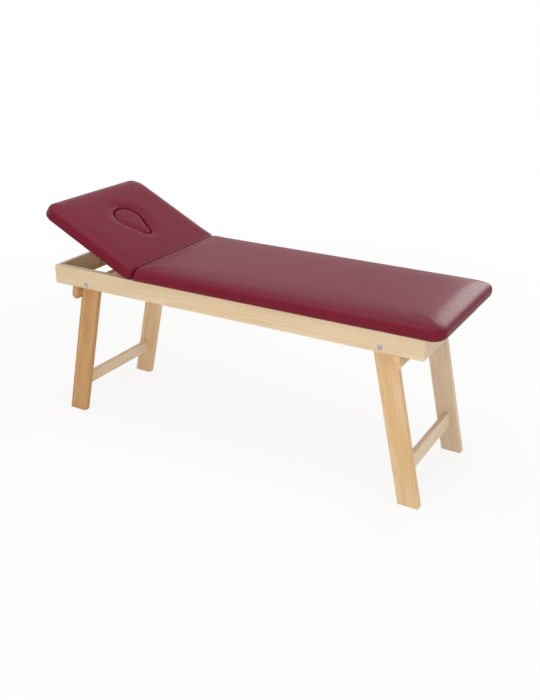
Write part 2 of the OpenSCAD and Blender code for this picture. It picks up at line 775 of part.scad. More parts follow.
module head_near_leg() { leg(false, -1); }
module head_far_leg() { leg(false, 1); }
module head_stretcher() { stretcher(false); }
module head_stop_bar() { stop_bar(false); }
module head_stop_screws() { stop_screws(false); }
module foot_near_leg() { leg(true, -1); }
module foot_far_leg() { leg(true, 1); }
module foot_stretcher() { stretcher(true); }
module foot_stop_bar() { stop_bar(true); }
module foot_stop_screws() { stop_screws(true); }

near_rail();
far_rail();
head_end_board();
foot_end_board();
hinge_bearer();
middle_bearer();
foot_bearer();
corner_blocks();
main_panel();
main_cushion();
pivot_bolts();
pivot_washers();
pivot_nuts();
fixed_hinge_leaves();
hinge_pins();
stay_foot_bracket();
stay_foot_pin();
head_panel();
head_cushion();
moving_hinge_leaves();
stay_top_bracket();
stay_top_pin();
notched_stay();
plug_base();
plug_cushion();
head_near_leg();
head_far_leg();
head_stretcher();
head_stop_bar();
head_stop_screws();
foot_near_leg();
foot_far_leg();
foot_stretcher();
foot_stop_bar();
foot_stop_screws();
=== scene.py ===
import math

import bpy
import numpy as np
from mathutils import Euler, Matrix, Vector


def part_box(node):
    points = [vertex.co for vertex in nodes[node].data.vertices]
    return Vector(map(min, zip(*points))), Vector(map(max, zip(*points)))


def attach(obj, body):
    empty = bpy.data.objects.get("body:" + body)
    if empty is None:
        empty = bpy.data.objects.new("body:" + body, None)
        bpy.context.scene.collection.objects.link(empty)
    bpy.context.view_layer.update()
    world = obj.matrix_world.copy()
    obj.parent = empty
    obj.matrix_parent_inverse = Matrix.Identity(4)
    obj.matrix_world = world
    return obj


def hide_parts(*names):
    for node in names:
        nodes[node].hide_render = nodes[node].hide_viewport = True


# Treatment table: padded vinyl sections on a lacquered pine frame with zinc-plated fittings.
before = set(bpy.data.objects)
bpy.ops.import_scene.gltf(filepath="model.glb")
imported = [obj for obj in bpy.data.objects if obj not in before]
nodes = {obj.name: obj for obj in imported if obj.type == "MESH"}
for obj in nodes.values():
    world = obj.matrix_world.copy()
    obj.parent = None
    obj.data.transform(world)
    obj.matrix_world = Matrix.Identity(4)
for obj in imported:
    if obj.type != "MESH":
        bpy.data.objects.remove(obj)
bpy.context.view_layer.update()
print("frame loaded with", len(nodes), "nodes")

mm = 0.001
scene = bpy.context.scene
scene.view_settings.view_transform = "Standard"

# Camera, at the photograph's place: its sensor's long side stands upright in a 540 x 700 picture
camera = {
    "place": (1.825101, -3.09706, 1.94170),
    "forward": (-0.45567657, 0.79727646, -0.395865),
    "right": (0.86750476, 0.49741839, 0.00322933),
    "lens": 45.314, "sensor": 36,
}


def makeCamera(s):
    data = bpy.data.cameras.new("camera")
    data.lens, data.sensor_width, data.sensor_fit = s["lens"], s["sensor"], "AUTO"
    eye = bpy.data.objects.new("camera", data)
    scene.collection.objects.link(eye)
    forward, right = Vector(s["forward"]), Vector(s["right"])
    up = right.cross(forward)
    matrix = eye.matrix_world.copy()
    for row in range(3):
        matrix[row][:] = [right[row], up[row], -forward[row], s["place"][row]]
    eye.matrix_world = matrix
    scene.camera = eye


makeCamera(camera)


# Mesh helpers

def putMesh(name, points, faces, smooth=True):
    # points in metres, faces as one array of corners or a list of such arrays
    mesh = bpy.data.meshes.new(name)
    parts = faces if isinstance(faces, list) else [faces]
    mesh.from_pydata(points.reshape(-1, 3).tolist(), [], [f for part in parts for f in part.tolist()])
    mesh.polygons.foreach_set("use_smooth", np.full(len(mesh.polygons), smooth))
    mesh.update()
    piece = bpy.data.objects.new(name, mesh)
    scene.collection.objects.link(piece)
    return piece


def ringFaces(rings, count, closed=False):
    # corner j, i joins its neighbour along the ring and the ring above it
    j = np.arange(rings if closed else rings - 1)[:, None]
    i = np.arange(count)[None, :]
    above, next_ = (j + 1) % rings, (i + 1) % count
    corners = [j * count + i, j * count + next_, above * count + next_, above * count + i]
    return np.stack(np.broadcast_arrays(*corners), -1).reshape(-1, 4)


def poleFaces(first, count, pole, up):
    # a fan of triangles between one ring and its middle point
    i = np.arange(count)
    a, b = first + i, first + (i + 1) % count
    tip = np.full(count, pole)
    return np.stack([a, b, tip] if up else [b, a, tip], -1)


def closedLoft(rings):
    # rings listed from below to above, with a middle point at each end
    m, n = rings.shape[:2]
    points = np.concatenate([rings.reshape(-1, 3), rings[:1].mean(1), rings[-1:].mean(1)])
    faces = [ringFaces(m, n), poleFaces(0, n, m * n, False), poleFaces((m - 1) * n, n, m * n + 1, True)]
    return points, faces


def copies(points, faces, places):
    # the same mesh at several places, each a 3 x 4 matrix
    places = np.asarray(places, float)
    moved = np.einsum("kab,pb->kpa", places[:, :, :3], points) + places[:, None, :, 3]
    steps = np.arange(len(places))[:, None, None] * len(points)
    return moved.reshape(-1, 3), [(f[None] + steps).reshape(-1, f.shape[1]) for f in faces]


def evaluated(piece):
    return piece.evaluated_get(bpy.context.evaluated_depsgraph_get())


def bakeModifiers(piece):
    mesh = bpy.data.meshes.new_from_object(evaluated(piece))
    piece.modifiers.clear()
    old, piece.data = piece.data, mesh
    mesh.name = piece.name
    bpy.data.meshes.remove(old)


def vertexPlaces(mesh):
    flat = np.empty(len(mesh.vertices) * 3, np.float32)
    mesh.vertices.foreach_get("co", flat)
    return flat.reshape(-1, 3).astype(float)


def moveVertices(mesh, places):
    mesh.vertices.foreach_set("co", places.astype(np.float32).ravel())
    mesh.update()


# Places on the raised head section: it turns about the hinges' pins
headTilt = math.radians(26.6)
pinLow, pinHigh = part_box("hinge_pins")
hinge = (pinLow + pinHigh) / 2
padUp = 5.0  # mm from the hinge axis up to the head section's underside


def headToTable(points):
    # x' = x cos + z sin, z' = z cos - x sin, from the hinge axis
    x, y, z = points[..., 0], points[..., 1], points[..., 2]
    c, s = math.cos(headTilt), math.sin(headTilt)
    return np.stack([hinge[0] + x * c + z * s, y, hinge[2] + z * c - x * s], -1)


# Materials

def linear(colour):
    # sRGB hex to linear: a straight toe, then ((c + 0.055) / 1.055) to the power 2.4
    c = np.array([int(colour[k:k + 2], 16) / 255 for k in (1, 3, 5)])
    return [*np.where(c <= 0.04045, c / 12.92, ((c + 0.055) / 1.055) ** 2.4), 1.0]


def addNode(tree, kind, values=None, links=None, **settings):
    # one node with its settings, its sockets' values and what feeds them
    node = tree.nodes.new("ShaderNode" + kind)
    for key, value in settings.items():
        setattr(node, key, value)
    for socket, value in (values or {}).items():
        node.inputs[socket].default_value = value
    for socket, source in (links or {}).items():
        tree.links.new(source, node.inputs[socket])
    return node.outputs


def newMaterial(name, values):
    material = bpy.data.materials.new(name)
    material.use_nodes = True
    tree = material.node_tree
    shader = tree.nodes["Principled BSDF"]
    for socket, value in values.items():
        shader.inputs[socket].default_value = value
    return material, tree, shader


def feed(tree, shader, sources):
    for socket, source in sources.items():
        tree.links.new(source, shader.inputs[socket])


def paint(piece, material):
    piece.data.materials.clear()
    piece.data.materials.append(material)


# Pine, planed and sanded, under two coats of satin lacquer: pale early wood, narrow darker late
# wood in rings round a pith that lies outside the board, and fine fibres along it
woodTones = {
    "pale": {"early": "#dec8a7", "late": "#c6a272", "warm": "#d8bb93", "contrast": 0.26, "streaks": 0.18},
    # a darker pine that paints the shade the raised head pad casts inside the frame, on the far rail and
    # the head end board
    "shadedDeep": {"early": "#b9a07c", "late": "#9a784c", "warm": "#ae8f68", "contrast": 0.4, "streaks": 0.25},
    "honey": {"early": "#cda06a", "late": "#96602b", "warm": "#bf8b50", "contrast": 0.45, "streaks": 0.6},
    "tan": {"early": "#eccea4", "late": "#c19463", "warm": "#e1bc90", "contrast": 0.4, "streaks": 0.5},
    "straw": {"early": "#dfc096", "late": "#c2945c", "warm": "#cfa56c", "contrast": 0.24, "streaks": 0.25},
    "rose": {"early": "#e1cbb1", "late": "#bf9e7d", "warm": "#d6bb9d", "contrast": 0.3, "streaks": 0.3},
    "cream": {"early": "#ead6b8", "late": "#cfac80", "warm": "#e2c9a5", "contrast": 0.3, "streaks": 0.3},
}


def lacqueredPine(name, node, tone, turn=(0, 0, 0), pith=(0, 55, 30), ringGap=5.0, knots=()):
    # turn, in degrees, brings the grain along x; pith is where the board's middle lies as seen from
    # the rings' centre line, and ringGap is the rings' spacing, both in millimetres
    s = woodTones[tone]
    material, tree, shader = newMaterial("lacquered pine, " + name, {"IOR": 1.5, "Roughness": 0.42})
    low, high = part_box(node)
    turned = Euler([math.radians(a) for a in turn])
    shift = Vector(pith) * mm - turned.to_matrix() @ ((low + high) / 2)
    coords = addNode(tree, "TexCoord")
    board = addNode(tree, "Mapping", {"Location": shift, "Rotation": turned},
                    {"Vector": coords["Object"]})[0]
    # slow wander of the rings along the board, over about 250 mm
    stretched = addNode(tree, "Mapping", {"Scale": (2.2, 9, 9)}, {"Vector": board})[0]
    wander = addNode(tree, "TexNoise", {"Scale": 1, "Detail": 2, "Roughness": 0.45},
                     {"Vector": stretched})[0]
    across = addNode(tree, "VectorMath", {1: (0, 1, 1)}, {0: board}, operation="MULTIPLY")[0]
    radius = addNode(tree, "VectorMath", {}, {0: across}, operation="LENGTH")["Value"]
    rings = addNode(tree, "Math", {1: 1 / (ringGap * mm)}, {0: radius}, operation="MULTIPLY")[0]
    phase = addNode(tree, "Math", {1: 4.0}, {0: wander, 2: rings}, operation="MULTIPLY_ADD")[0]
    part = addNode(tree, "Math", {}, {0: phase}, operation="FRACT")[0]
    rise = addNode(tree, "MapRange", {"From Min": 0.3, "From Max": 0.86}, {"Value": part},
                   interpolation_type="SMOOTHSTEP")[0]
    fall = addNode(tree, "MapRange", {"From Min": 0.88, "From Max": 1, "To Min": 1, "To Max": 0},
                   {"Value": part}, interpolation_type="SMOOTHSTEP")[0]
    late = addNode(tree, "Math", {}, {0: rise, 1: fall}, operation="MULTIPLY")[0]
    # fibres 0.8 mm apart, drawn about twice as coarse as real ones so that they show
    drawn = addNode(tree, "Mapping", {"Scale": (22, 1250, 1250)}, {"Vector": board})[0]
    fibres = addNode(tree, "TexNoise", {"Scale": 1, "Detail": 3, "Roughness": 0.6}, {"Vector": drawn})[0]
    # broad warm patches
    patched = addNode(tree, "Mapping", {"Scale": (3, 22, 22)}, {"Vector": board})[0]
    patches = addNode(tree, "TexNoise", {"Scale": 1, "Detail": 3, "Roughness": 0.5},
                      {"Vector": patched})[0]
    warmth = addNode(tree, "MapRange", {"From Min": 0.35, "From Max": 0.7, "To Max": 0.75},
                     {"Value": patches})[0]
    ground = addNode(tree, "Mix", {6: linear(s["early"]), 7: linear(s["warm"])}, {0: warmth},
                     data_type="RGBA")[2]
    strength = addNode(tree, "Math", {1: s["contrast"]}, {0: late}, operation="MULTIPLY")[0]
    ringed = addNode(tree, "Mix", {7: linear(s["late"])}, {0: strength, 6: ground}, data_type="RGBA")[2]
    # resin-dark streaks 2 to 5 mm wide that run far along the board
    combed = addNode(tree, "Mapping", {"Scale": (4, 230, 230)}, {"Vector": board})[0]
    comb = addNode(tree, "TexNoise", {"Scale": 1, "Detail": 4, "Roughness": 0.65}, {"Vector": combed})[0]
    dark = addNode(tree, "MapRange", {"From Min": 0.5, "From Max": 0.72, "To Max": s["streaks"]},
                   {"Value": comb})[0]
    ringed = addNode(tree, "Mix", {7: linear(s["late"])}, {0: dark, 6: ringed}, data_type="RGBA")[2]
    streak = addNode(tree, "MapRange", {"From Min": 0.3, "From Max": 0.7, "To Min": 0.94, "To Max": 1.05},
                     {"Value": fibres})[0]
    colour = addNode(tree, "VectorMath", {}, {0: ringed, "Scale": streak}, operation="SCALE")[0]
    for place, size in knots:
        # a knot is a dark heart with a soft brown halo, longer along the grain
        there = turned.to_matrix() @ Vector(place) + shift
        away = addNode(tree, "VectorMath", {1: there}, {0: board}, operation="SUBTRACT")[0]
        squeezed = addNode(tree, "VectorMath", {1: (0.45, 1, 1)}, {0: away}, operation="MULTIPLY")[0]
        reach = addNode(tree, "VectorMath", {}, {0: squeezed}, operation="LENGTH")["Value"]
        heart = addNode(tree, "MapRange", {"From Min": size * mm * 0.45, "From Max": size * mm,
                                           "To Min": 0.85, "To Max": 0}, {"Value": reach},
                        interpolation_type="SMOOTHSTEP")[0]
        halo = addNode(tree, "MapRange", {"From Min": size * mm * 0.8, "From Max": size * mm * 2.6,
                                          "To Min": 0.5, "To Max": 0}, {"Value": reach},
                       interpolation_type="SMOOTHSTEP")[0]
        soft = addNode(tree, "Mix", {7: linear("#b98a55")}, {0: halo, 6: colour}, data_type="RGBA")[2]
        colour = addNode(tree, "Mix", {7: linear("#6d4324")}, {0: heart, 6: soft}, data_type="RGBA")[2]
    gloss = addNode(tree, "MapRange", {"To Min": 0.36, "To Max": 0.5}, {"Value": patches})[0]
    grainHeight = addNode(tree, "Math", {1: 0.35}, {0: late, 2: fibres}, operation="MULTIPLY_ADD")[0]
    bump = addNode(tree, "Bump", {"Strength": 0.25, "Distance": 0.12 * mm}, {"Height": grainHeight})[0]
    feed(tree, shader, {"Base Color": colour, "Roughness": gloss, "Normal": bump})
    paint(nodes[node], material)


legTurn = {"head": (0, -102.2, 0), "foot": (0, -77.8, 0)}
crossTurn = (0, 0, -90)
lacqueredPine("near rail", "near_rail", "pale", pith=(0, 64, 40), ringGap=9)
# the far rail and the head end board take the darker tone as painted shade from the raised head pad
lacqueredPine("far rail", "far_rail", "shadedDeep", (0, 0.6, 0.4), (300, -60, 30), 8)
lacqueredPine("head end board", "head_end_board", "shadedDeep", crossTurn, (90, 60, -30), 6.0)
lacqueredPine("foot end board", "foot_end_board", "pale", crossTurn, (700, 48, 26), 6.0)
lacqueredPine("hinge bearer", "hinge_bearer", "pale", crossTurn, (150, 30, 50), 5.0)
lacqueredPine("middle bearer", "middle_bearer", "pale", crossTurn, (410, -20, 55), 5.0)
lacqueredPine("foot bearer", "foot_bearer", "pale", crossTurn, (920, 36, 42), 5.0)
lacqueredPine("corner blocks", "corner_blocks", "pale", (0, 90, 0), (40, 30, 30), 4.0)
lacqueredPine("head near leg", "head_near_leg", "honey", legTurn["head"], (200, 44, 22), 4.6,
              [((-0.800, -0.262, 0.43), 7)])
lacqueredPine("head far leg", "head_far_leg", "tan", legTurn["head"], (480, -50, 30), 5.0)
lacqueredPine("head stretcher", "head_stretcher", "cream", crossTurn, (330, 42, 30), 5.5)
lacqueredPine("head stop bar", "head_stop_bar", "honey", crossTurn, (610, 26, 34), 4.0)
lacqueredPine("foot near leg", "foot_near_leg", "straw", legTurn["foot"], (120, 70, 40), 11)
lacqueredPine("foot far leg", "foot_far_leg", "rose", legTurn["foot"], (770, -46, 26), 5.5)
lacqueredPine("foot stretcher", "foot_stretcher", "cream", crossTurn, (540, 44, -24), 6.0)
lacqueredPine("foot stop bar", "foot_stop_bar", "straw", crossTurn, (260, 30, 30), 4.5)


# Birch plywood, rotary cut and sanded: even pale faces with a faint figure, and thin plies that
# show at the edge as light and dark lines
def birchPlywood(name, node, tilt, ply=1.33):
    material, tree, shader = newMaterial("birch plywood, " + name, {"IOR": 1.5, "Roughness": 0.55})
    low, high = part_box(node)
    turned = Euler((0, -tilt, 0))
    shift = -(turned.to_matrix() @ ((low + high) / 2))
    coords = addNode(tree, "TexCoord")
    sheet = addNode(tree, "Mapping", {"Location": shift, "Rotation": turned},
                    {"Vector": coords["Object"]})[0]
    height = addNode(tree, "SeparateXYZ", {}, {0: sheet})[2]
    plies = addNode(tree, "Math", {1: math.pi / (ply * mm)}, {0: height}, operation="MULTIPLY")[0]
    wave = addNode(tree, "Math", {}, {0: plies}, operation="SINE")[0]
    dark = addNode(tree, "MapRange", {"From Min": 0.1, "From Max": 0.8, "To Max": 0.5},
                   {"Value": wave})[0]
    drawn = addNode(tree, "Mapping", {"Scale": (9, 90, 90)}, {"Vector": sheet})[0]
    figure = addNode(tree, "TexNoise", {"Scale": 1, "Detail": 5, "Distortion": 1.2},
                     {"Vector": drawn})[0]
    face = addNode(tree, "Mix", {6: linear("#dcc19a"), 7: linear("#c9a97c")}, {0: figure},
                   data_type="RGBA")[2]
    colour = addNode(tree, "Mix", {7: linear("#9c7548")}, {0: dark, 6: face}, data_type="RGBA")[2]
    bump = addNode(tree, "Bump", {"Strength": 0.2, "Distance": 0.1 * mm}, {"Height": figure})[0]
    feed(tree, shader, {"Base Color": colour, "Normal": bump})
    paint(nodes[node], material)


birchPlywood("main panel", "main_panel", 0)
birchPlywood("head panel", "head_panel", headTilt)
birchPlywood("plug base", "plug_base", headTilt)


# Vinyl leathercloth, calendered and embossed on a knitted back: a fine pebble grain under a
# smooth plasticised skin, which gives a soft even sheen; its low specular level stands for the
# matt top coat
# the darker colour paints shade in the pebble grain's hollows
vinyl = {"skin": "#701429", "pebbleShade": "#5e0f20", "bloom": "#781a30", "roughness": 0.38, "specular": 0.155,
         "pebble": 1.3, "relief": 0.10}


def vinylLeathercloth(name, s, turn):
    material, tree, shader = newMaterial(
        "vinyl leathercloth, " + name,
        {"IOR": 1.5, "Specular IOR Level": s["specular"], "Roughness": s["roughness"]})
    coords = addNode(tree, "TexCoord")
    skin = addNode(tree, "Mapping", {"Rotation": (0, turn, 0)}, {"Vector": coords["Object"]})[0]
    cells = addNode(tree, "TexVoronoi", {"Scale": 1 / (s["pebble"] * mm), "Smoothness": 0.4},
                    {"Vector": skin}, feature="SMOOTH_F1")["Distance"]
    # wrinkles about 2.4 mm across, and clouds over about 140 mm
    wrinkles = addNode(tree, "TexNoise", {"Scale": 420, "Detail": 3, "Roughness": 0.6},
                       {"Vector": skin})[0]
    clouds = addNode(tree, "TexNoise", {"Scale": 7, "Detail": 3}, {"Vector": skin})[0]
    # painted shade: the grain's hollows are darkened as if shaded, over the same cells that make the bump
    pebbleShade = addNode(tree, "MapRange", {"From Min": 0.35, "From Max": 0.75, "To Max": 0.6},
                     {"Value": cells})[0]
    cloud = addNode(tree, "MapRange", {"From Min": 0.35, "From Max": 0.65, "To Max": 0.5},
                    {"Value": clouds})[0]
    ground = addNode(tree, "Mix", {6: linear(s["skin"]), 7: linear(s["bloom"])}, {0: cloud},
                     data_type="RGBA")[2]
    colour = addNode(tree, "Mix", {7: linear(s["pebbleShade"])}, {0: pebbleShade, 6: ground},
                     data_type="RGBA")[2]
    gloss = addNode(tree, "MapRange", {"From Min": 0.3, "From Max": 0.7, "To Min": s["roughness"] - 0.03,
                                       "To Max": s["roughness"] + 0.04}, {"Value": wrinkles})[0]
    relief = addNode(tree, "Math", {1: -1.0}, {0: cells, 2: wrinkles}, operation="MULTIPLY_ADD")[0]
    bump = addNode(tree, "Bump", {"Strength": 0.3, "Distance": s["relief"] * mm}, {"Height": relief})[0]
    feed(tree, shader, {"Base Color": colour, "Roughness": gloss, "Normal": bump})
    return material


mainVinyl = vinylLeathercloth("main pad", vinyl, 0)
headVinyl = vinylLeathercloth("head pad", vinyl, -headTilt)

# Steel, zinc-plated and blue passivated: a cool soft shine with faint clouding about 6 mm across
zinc, zincTree, zincShader = newMaterial("zinc-plated steel", {"Metallic": 1.0, "Roughness": 0.3})
zincCoords = addNode(zincTree, "TexCoord")
zincClouds = addNode(zincTree, "TexNoise", {"Scale": 160, "Detail": 4}, {"Vector": zincCoords["Object"]})[0]
zincColour = addNode(zincTree, "Mix", {6: linear("#9dabbb"), 7: linear("#c6d0db")}, {0: zincClouds},
                     data_type="RGBA")[2]
zincGloss = addNode(zincTree, "MapRange", {"To Min": 0.22, "To Max": 0.42}, {"Value": zincClouds})[0]
feed(zincTree, zincShader, {"Base Color": zincColour, "Roughness": zincGloss})
for name in ("pivot_washers", "pivot_nuts", "fixed_hinge_leaves", "moving_hinge_leaves", "hinge_pins",
             "stay_foot_bracket", "stay_foot_pin", "stay_top_bracket", "stay_top_pin", "notched_stay"):
    paint(nodes[name], zinc)
print("materials on the carried-over nodes")


# Pads, in millimetres, with x along the pad. Pairs are for its two ends: where each end's foot
# stands, how far along x it leans over the pad's thickness, its corner radius, its share of the
# side's bulge and of the side's shoulder, how much rounder than the side it is, and how fast its
# corners widen inwards. Beside the groove both ends stay tight, and the main pad's leans the way the
# raised head pad's does, so that the groove is thin.
mainLow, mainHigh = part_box("main_cushion")
mainPad = {
    "ends": (mainLow[0] / mm - 14, mainHigh[0] / mm - 2), "leans": (19, 12), "radii": (10, 48),
    "proud": (0, 1), "shoulders": (0.22, 1.05), "rounder": (1, 1.55), "growth": (0.5, 1.0),
    "width": 620, "thickness": 60, "base": mainLow[2] / mm, "shoulder": 106, "power": 3.2,
    "bulge": 6, "crown": 5, "arcPoints": 16, "sidePoints": 40, "voxel": 8, "swell": 2.5, "tight": 10,
    "fill": 0.85,
}
headPad = {
    "ends": (-513, 4), "leans": (0, 3), "radii": (52, 10),
    "proud": (0.3, 0), "shoulders": (1.25, 0.3), "rounder": (1.65, 1), "growth": (0.9, 0.5),
    "width": 620, "thickness": 60, "base": padUp, "shoulder": 92, "power": 3.9,
    "bulge": 11, "crown": 4, "arcPoints": 16, "sidePoints": 24, "voxel": 5, "swell": 2.5, "tight": 16,
    "fill": 0.85,
}
# the cover round the panel's edge: inset and height of each ring up to the lip, and the lip's rings
edge = {"lip": 1.5, "foot": [(12.9, 13.2), (12.9, 3.8), (8, 1.2), (3, 0.5)],
        "turn": [(3, 1.2), (1, 3.6), (0, 8), (0, 13), (1, 18)], "archFrom": 23, "archDrop": 1.5}
# the face opening is the hull of a wide and a slim circle; the cover dips towards its rim
faceOpening = {"wideAt": -281, "slimAt": -184, "wide": 71, "slim": 32, "rim": 9, "dip": 6, "dipReach": 12,
               "clear": 0.6, "low": 13, "rings": (48, 34, 24, 16, 10, 5, 1.5), "tight": 6, "easing": 30,
               "leastSwell": 0.02}
# the cover's simulation: only the foot up to this height and the opening's wall are held
cover = {"pressure": 4, "stretch": 40, "bend": 2, "frames": 20, "held": 14, "wallHeld": 3,
         "relaxed": 5, "easing": 70, "hingeSwell": 0.1}
leastRadius = 6  # mm, of a corner that is drawn far in


def padRings(s, inset, z, arched=False):
    # a rectangle with quarter-circle corners, drawn in by inset, one ring for each inset and height;
    # a negative inset stands proud; in an arch each end follows its own shoulder and roundness
    inset, z = (np.asarray(v, float)[:, None] for v in (inset, z))
    if arched:
        across = np.clip(1 - (inset + s["bulge"]) / s["shoulder"], 0, 1)
        ends = [share * s["shoulder"] * (1 - across ** rounder) - s["bulge"] * out
                for share, rounder, out in zip(s["shoulders"], s["rounder"], s["proud"])]
        a, b = (np.where(inset < 0, r - inset, r + growth * inset)
                for r, growth in zip(s["radii"], s["growth"]))
    else:
        ends = [np.where(inset < 0, inset * out, inset) for out in s["proud"]]
        a, b = (np.maximum(r - inset, leastRadius) for r in s["radii"])
    xa = s["ends"][0] + s["leans"][0] * z / s["thickness"] + ends[0]
    xb = s["ends"][1] + s["leans"][1] * z / s["thickness"] - ends[1]
    h = s["width"] / 2 - inset
    t = np.linspace(0, math.pi / 2, s["arcPoints"])[None, :]
    runs = []
    for centreX, centreY, r, start in ((xb - b, h - b, b, 0), (xa + a, h - a, a, 1),
                                       (xa + a, a - h, a, 2), (xb - b, b - h, b, 3)):
        angle = t + start * math.pi / 2
        runs.append(np.stack([centreX + r * np.cos(angle), centreY + r * np.sin(angle)], -1))
    share = np.linspace(0, 1, s["sidePoints"] + 2)[1:-1][None, :, None]
    rings = []
    for arc, following in zip(runs, runs[1:] + runs[:1]):
        rings += [arc, arc[:, -1:] * (1 - share) + following[:, :1] * share]
    flat = np.concatenate(rings, 1)
    return np.concatenate([flat, np.broadcast_to(z[..., None], flat.shape[:2] + (1,))], -1)


def foamRings(s):
    # the cover is pulled round the panel's edge; above it one arch runs from the wall to the crown:
    # (height / rise)^p + (1 - inset / shoulder)^p = 1, a squared ellipse
    lip = s["bulge"] + edge["lip"]
    foot = edge["foot"] + [(inset - lip, z) for inset, z in edge["turn"]]
    steep = np.linspace(0, math.pi / 2, 18)
    across, up = np.cos(steep) ** (2 / s["power"]), np.sin(steep) ** (2 / s["power"])
    inset = s["shoulder"] * (1 - across) - s["bulge"]
    rise = s["thickness"] + s["crown"] - edge["archFrom"] - edge["archDrop"]
    arch = padRings(s, inset, edge["archFrom"] + rise * up, True)
    return np.concatenate([padRings(s, *zip(*foot)), arch])


def facePoints(angle, grow, z):
    # the point of the opening's outline, grown outwards, whose normal has this angle
    s = faceOpening
    n = np.stack([np.cos(angle), np.sin(angle)], -1)
    wide = s["wideAt"] * n[:, 0] + s["wide"] > s["slimAt"] * n[:, 0] + s["slim"]
    x = np.where(wide, s["wideAt"], s["slimAt"])
    r = np.where(wide, s["wide"], s["slim"]) + grow
    return np.stack([x + r * n[:, 0], r * n[:, 1], np.full(len(x), float(z))], -1)


def inflate(piece, s, hold, cap):
    # foam pressing out its stretched cover: even pressure, a held foot, and a soft cap on the reach
    remesh = piece.modifiers.new("even mesh", "REMESH")
    remesh.mode, remesh.voxel_size = "VOXEL", s["voxel"] * mm
    bakeModifiers(piece)
    start = vertexPlaces(piece.data)
    group = piece.vertex_groups.new(name="held")
    for index in np.nonzero(hold(start))[0].tolist():
        group.add([index], 1.0, "REPLACE")
    cloth = piece.modifiers.new("cover", "CLOTH")
    cloth.settings.use_pressure = True
    cloth.settings.uniform_pressure_force = cover["pressure"]
    cloth.settings.effector_weights.gravity = 0
    cloth.settings.vertex_group_mass = "held"
    cloth.settings.tension_stiffness = cloth.settings.compression_stiffness = cover["stretch"]
    cloth.settings.bending_stiffness = cover["bend"]
    cloth.point_cache.frame_start, cloth.point_cache.frame_end = 1, cover["frames"]
    for step in range(1, cover["frames"] + 1):
        scene.frame_set(step)
    swollen = vertexPlaces(evaluated(piece).data)
    piece.modifiers.clear()
    piece.vertex_groups.clear()
    reach = swollen - start
    length = np.linalg.norm(reach, axis=1, keepdims=True)
    usual = np.quantile(length[length > 0.5 * mm], 0.5)
    capped = reach / np.maximum(length, 1e-9) * cap(start)[:, None] * np.tanh(3 * length / usual)
    print(piece.name, "swells by", round(float(usual / mm), 1), "mm as a rule, kept",
          round(float(np.linalg.norm(capped, axis=1).max() / mm), 1))
    moveVertices(piece.data, start + capped)
    scene.frame_set(1)
    smooth = piece.modifiers.new("relaxed", "SMOOTH")
    smooth.factor, smooth.iterations = 0.5, cover["relaxed"]
    finer = piece.modifiers.new("fine", "SUBSURF")
    finer.levels = finer.render_levels = 1
    bakeModifiers(piece)
    piece.data.polygons.foreach_set("use_smooth", np.full(len(piece.data.polygons), True))


def swellRoom(s, away):
    # room to swell, little of it beside the other pad; away is the distance from there
    return s["swell"] * np.clip(away / cover["easing"], cover["hingeSwell"], 1) * mm


def dress(piece, material, body, slotName, *stoodFor):
    paint(piece, material)
    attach(piece, body)
    if stoodFor:
        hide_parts(*stoodFor)
    return piece


# Main pad's foam under its stretched cover
def makeMainFoam(s):
    rings = foamRings(s)
    rings[..., 2] += s["base"]
    points, faces = closedLoft(rings * mm)
    piece = putMesh("mainFoam", points, faces)
    floor = (s["base"] + cover["held"]) * mm
    inflate(piece, s, lambda p: p[:, 2] < floor,
            lambda p: swellRoom(s, p[:, 0] / mm - s["ends"][0] - s["tight"]))
    return dress(piece, mainVinyl, "frame", "burgundy vinyl", "main_cushion")


makeMainFoam(mainPad)


# Head pad's foam, a ring round the face opening, into which its cover is drawn down
def makeHeadFoam(s):
    outer, hole = foamRings(s), faceOpening
    middle = (hole["wideAt"] + hole["slimAt"]) / 2
    angle = np.arctan2(outer[0, :, 1], outer[0, :, 0] - middle)
    rows = [outer]

    def dipped(away):
        # height of the cover at this distance from the rim
        top = s["thickness"] + s["crown"] - edge["archDrop"]
        return top - hole["dip"] * math.exp(-away / hole["dipReach"])

    for away in hole["rings"]:
        rows.append(facePoints(angle, hole["rim"] + away, dipped(away))[None])
    for a in np.linspace(0, math.pi / 2, 6):
        grow = hole["rim"] * (1 - math.sin(a)) + hole["clear"]
        rows.append(facePoints(angle, grow, dipped(0) - hole["rim"] * (1 - math.cos(a)))[None])
    rows.append(facePoints(angle, hole["clear"], hole["low"])[None])
    rings = np.concatenate(rows)
    rings[..., 2] += s["base"]
    piece = putMesh("headFoam", rings * mm, ringFaces(len(rings), rings.shape[1], True))
    floor = (s["base"] + cover["held"]) * mm

    def holeDistance(places):
        # distance outside the opening's wall, in millimetres
        flat = places[:, :2] / mm
        steps = np.linspace(0, 1, 25)[:, None]
        x = hole["wideAt"] + (hole["slimAt"] - hole["wideAt"]) * steps
        r = hole["wide"] + (hole["slim"] - hole["wide"]) * steps
        return (np.hypot(flat[None, :, 0] - x, flat[None, :, 1]) - r).min(0)

    def cap(places):
        # little room beside the opening too
        opening = np.clip((holeDistance(places) - hole["tight"]) / hole["easing"], hole["leastSwell"], 1)
        return swellRoom(s, s["ends"][1] - s["tight"] - places[:, 0] / mm) * opening

    inflate(piece, s, lambda p: (p[:, 2] < floor) | (holeDistance(p) < cover["wallHeld"]), cap)
    moveVertices(piece.data, headToTable(vertexPlaces(piece.data)))
    return dress(piece, headVinyl, "head_section", "burgundy vinyl", "head_cushion")


makeHeadFoam(headPad)

# Plug that fills the face opening, domed like a small pillow
plug = {"gap": 1.6, "low": 21.1, "wall": 42, "held": 38, "top": 59, "reach": 29, "power": 2.0, "voxel": 3.5,
        "swell": 0.8, "fill": 0.9}


